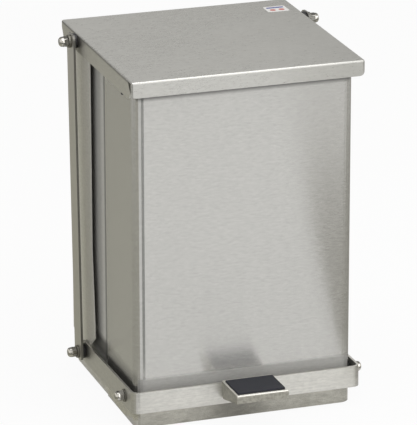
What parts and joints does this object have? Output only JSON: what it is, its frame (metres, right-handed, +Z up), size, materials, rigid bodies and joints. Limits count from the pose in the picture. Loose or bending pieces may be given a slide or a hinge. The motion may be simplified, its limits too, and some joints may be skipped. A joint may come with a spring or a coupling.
{
  "type": "waste receptacle",
  "caption": "Square stainless steel step-on waste can with a lift-out liner: a front pedal on a stirrup band pushes side straps that open the flanged, rear-hinged lid.",
  "frame": {"origin": "on the floor, under the middle of the whole box that holds the can, pedal and lid", "axes": "+Z up; the front with the pedal faces -Y; +X is the can's left-to-right seen from the front"},
  "size_m": [0.3632, 0.3642, 0.477],
  "materials": {
    "brushed stainless sheet": "brushed",
    "dull stainless bar": "satin",
    "bright stainless": "polished",
    "galvanised steel": "galvanised",
    "grey washer steel": "dull",
    "black nylon": "satin",
    "black rubber": "matt"
  },
  "bodies": {
    "can": {"front_wrap": "brushed stainless sheet", "rear_wrap": "brushed stainless sheet", "back_cover": "brushed stainless sheet", "base_pan": "brushed stainless sheet", "liner": "galvanised steel", "hinge_leaf_body": "dull stainless bar", "hinge_pin": "dull stainless bar", "pivot_bolt_left": "bright stainless", "pivot_bushing_left": "black nylon", "pivot_washer_left": "grey washer steel", "pivot_nut_left": "bright stainless", "lid_bumper_left": "black rubber", "pivot_bolt_right": "bright stainless", "pivot_bushing_right": "black nylon", "pivot_washer_right": "grey washer steel", "pivot_nut_right": "bright stainless", "lid_bumper_right": "black rubber"},
    "pedal": {"band": "dull stainless bar", "pedal_plate": "dull stainless bar", "pedal_pad": "black rubber", "strap_stud_left": "bright stainless", "strap_spacer_left": "black nylon", "strap_washer_left": "grey washer steel", "strap_nut_left": "bright stainless", "strap_stud_right": "bright stainless", "strap_spacer_right": "black nylon", "strap_washer_right": "grey washer steel", "strap_nut_right": "bright stainless"},
    "lid": {"lid": "brushed stainless sheet", "hinge_leaf_lid": "dull stainless bar"},
    "strap_left": {"strap_left": "dull stainless bar", "lid_bolt_left": "bright stainless", "lid_spacer_left": "black nylon", "lid_washer_left": "grey washer steel", "lid_nut_left": "bright stainless"},
    "strap_right": {"strap_right": "dull stainless bar", "lid_bolt_right": "bright stainless", "lid_spacer_right": "black nylon", "lid_washer_right": "grey washer steel", "lid_nut_right": "bright stainless"}
  },
  "joints": [
    {"name": "pedal_hinge", "type": "hinge", "parent": "can", "child": "pedal", "pos_m": [0, -0.08517, 0.0395], "axis": [1, 0, 0], "range_deg": [0, 16]},
    {"name": "lid_hinge", "type": "hinge", "parent": "can", "child": "lid", "pos_m": [0, 0.17063, 0.472], "axis": [-1, 0, 0], "range_deg": [0, 58.5]},
    {"name": "strap_hinge_left", "type": "hinge", "parent": "pedal", "child": "strap_left", "pos_m": [-0.1632, 0.09679, 0.03569], "axis": [-1, 0, 0], "range_deg": [0, 19.4]},
    {"name": "strap_hinge_right", "type": "hinge", "parent": "pedal", "child": "strap_right", "pos_m": [0.1632, 0.09679, 0.03569], "axis": [-1, 0, 0], "range_deg": [0, 19.4]}
  ],
  "couplings": [
    {"joint": "lid_hinge", "follows": "pedal_hinge", "ratio": 3.6522},
    {"joint": "strap_hinge_left", "follows": "pedal_hinge", "ratio": 1.2099},
    {"joint": "strap_hinge_right", "follows": "pedal_hinge", "ratio": 1.2099}
  ]
}
